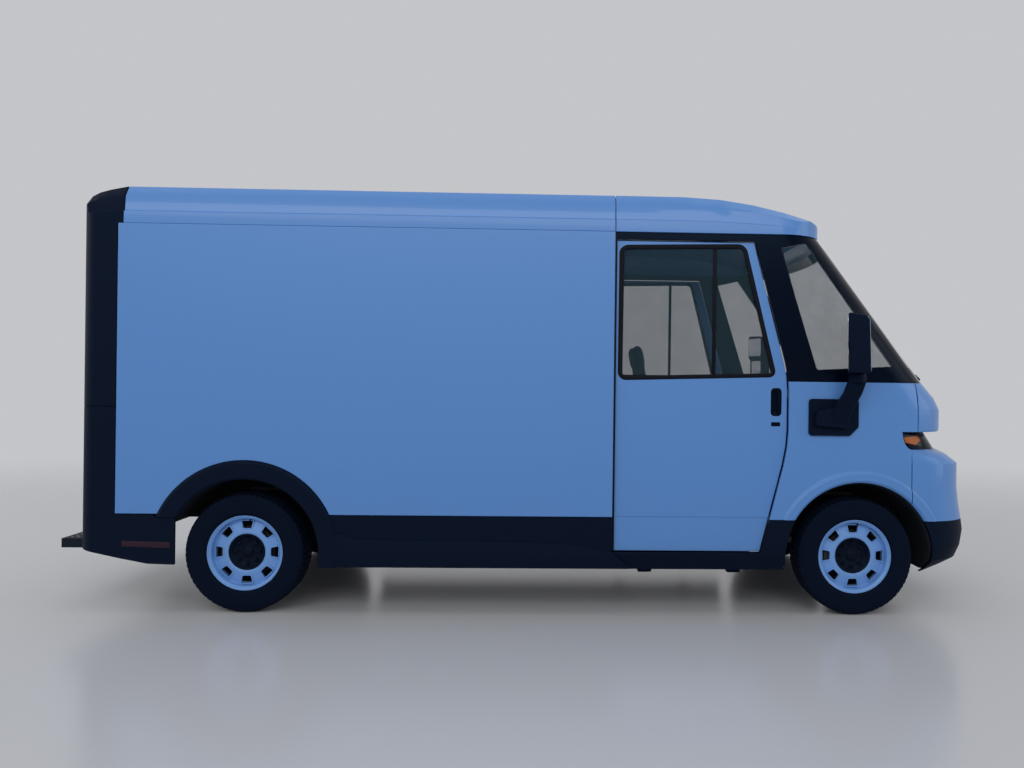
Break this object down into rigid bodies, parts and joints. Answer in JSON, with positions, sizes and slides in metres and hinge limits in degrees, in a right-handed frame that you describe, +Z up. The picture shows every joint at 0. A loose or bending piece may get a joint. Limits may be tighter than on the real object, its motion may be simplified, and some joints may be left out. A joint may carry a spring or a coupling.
{
  "type": "electric delivery van",
  "caption": "Walk-in electric delivery van with a box load space, pocket sliding cab doors, a roll-up rear door and steered front wheels.",
  "frame": {"origin": "on the ground at the middle of the van's length and width", "axes": "+X forwards, +Y to the driver's left, +Z up"},
  "size_m": [6.0498, 2.724, 2.7248],
  "materials": {
    "body_paint": "satin enamel with a slight orange peel",
    "roof_paint": "satin enamel",
    "trim_black": "fine grained moulded plastic",
    "gloss_black": "smooth polished plastic",
    "frame_steel": "black chassis paint",
    "axle_iron": "rough cast, lightly painted",
    "battery_case": "matt extruded and welded sheet",
    "floor_coat": "ribbed anti-slip covering",
    "inner_panel": "plain satin wall panel",
    "dash_plastic": "grained moulding",
    "seat_fabric": "woven cloth",
    "window_glass": "clear, slightly tinted",
    "lamp_lens": "clear lens",
    "amber_lens": "moulded lens",
    "red_lens": "moulded lens",
    "wheel_paint": "silver-white enamel",
    "tyre_rubber": "moulded rubber",
    "shutter": "coated slats"
  },
  "bodies": {
    "van_body": {"chassis_frame": "frame_steel", "battery_pack": "battery_case", "load_floor": "floor_coat", "cab_floor": "floor_coat", "entry_steps": "floor_coat", "side_panels": "body_paint", "load_roof": "roof_paint", "cab_roof": "body_paint", "windscreen": "window_glass", "side_frames": "gloss_black", "quarter_panes": "window_glass", "fenders": "body_paint", "nose_panel": "body_paint", "front_fascia": "body_paint", "front_bumper": "trim_black", "nose_band": "gloss_black", "side_markers": "amber_lens", "headlamps": "lamp_lens", "rockers": "trim_black", "wheel_liners": "trim_black", "rear_flares": "trim_black", "rear_cladding": "trim_black", "rear_surround": "trim_black", "rear_door": "shutter", "rear_step": "frame_steel", "tail_lamps": "red_lens", "mirror_arms": "trim_black", "mirror_heads": "trim_black", "pocket_walls": "inner_panel", "bulkhead": "inner_panel", "dashboard": "dash_plastic", "steering_wheel": "dash_plastic", "seat_pedestal": "frame_steel", "seat_cushion": "seat_fabric", "seat_back": "seat_fabric", "rear_axle": "axle_iron", "leaf_springs": "frame_steel", "drive_unit": "battery_case", "control_arms": "axle_iron"},
    "door_right": {"door_right": "body_paint", "door_pane_right": "window_glass"},
    "door_left": {"door_left": "body_paint", "door_pane_left": "window_glass"},
    "bulkhead_door": {"bulkhead_door": "inner_panel"},
    "knuckle_right": {"knuckle_right": "axle_iron"},
    "knuckle_left": {"knuckle_left": "axle_iron"},
    "wheel_front_right": {"rim_front_right": "wheel_paint", "tyre_front_right": "tyre_rubber"},
    "wheel_front_left": {"rim_front_left": "wheel_paint", "tyre_front_left": "tyre_rubber"},
    "wheel_rear_right": {"rim_rear_right": "wheel_paint", "tyre_rear_right": "tyre_rubber"},
    "wheel_rear_left": {"rim_rear_left": "wheel_paint", "tyre_rear_left": "tyre_rubber"}
  },
  "joints": [
    {"name": "door_right_slide", "type": "slide", "parent": "van_body", "child": "door_right", "axis": [-1, 0, 0], "range_m": [0, 0.94]},
    {"name": "door_left_slide", "type": "slide", "parent": "van_body", "child": "door_left", "axis": [-1, 0, 0], "range_m": [0, 0.94]},
    {"name": "bulkhead_door_slide", "type": "slide", "parent": "van_body", "child": "bulkhead_door", "axis": [0, 1, 0], "range_m": [0, 0.6]},
    {"name": "steer_right", "type": "hinge", "parent": "van_body", "child": "knuckle_right", "pos_m": [2.09, -0.924, 0.376], "axis": [0, 0, 1], "range_deg": [-32, 32]},
    {"name": "steer_left", "type": "hinge", "parent": "van_body", "child": "knuckle_left", "pos_m": [2.09, 0.924, 0.376], "axis": [0, 0, 1], "range_deg": [-32, 32]},
    {"name": "spin_front_right", "type": "hinge", "parent": "knuckle_right", "child": "wheel_front_right", "pos_m": [2.09, -0.964, 0.376], "axis": [0, 1, 0], "continuous": true},
    {"name": "spin_front_left", "type": "hinge", "parent": "knuckle_left", "child": "wheel_front_left", "pos_m": [2.09, 0.964, 0.376], "axis": [0, 1, 0], "continuous": true},
    {"name": "spin_rear_right", "type": "hinge", "parent": "van_body", "child": "wheel_rear_right", "pos_m": [-1.8, -0.964, 0.376], "axis": [0, 1, 0], "continuous": true},
    {"name": "spin_rear_left", "type": "hinge", "parent": "van_body", "child": "wheel_rear_left", "pos_m": [-1.8, 0.964, 0.376], "axis": [0, 1, 0], "continuous": true}
  ],
  "couplings": [
    {"joint": "steer_left", "follows": "steer_right", "ratio": 1}
  ]
}
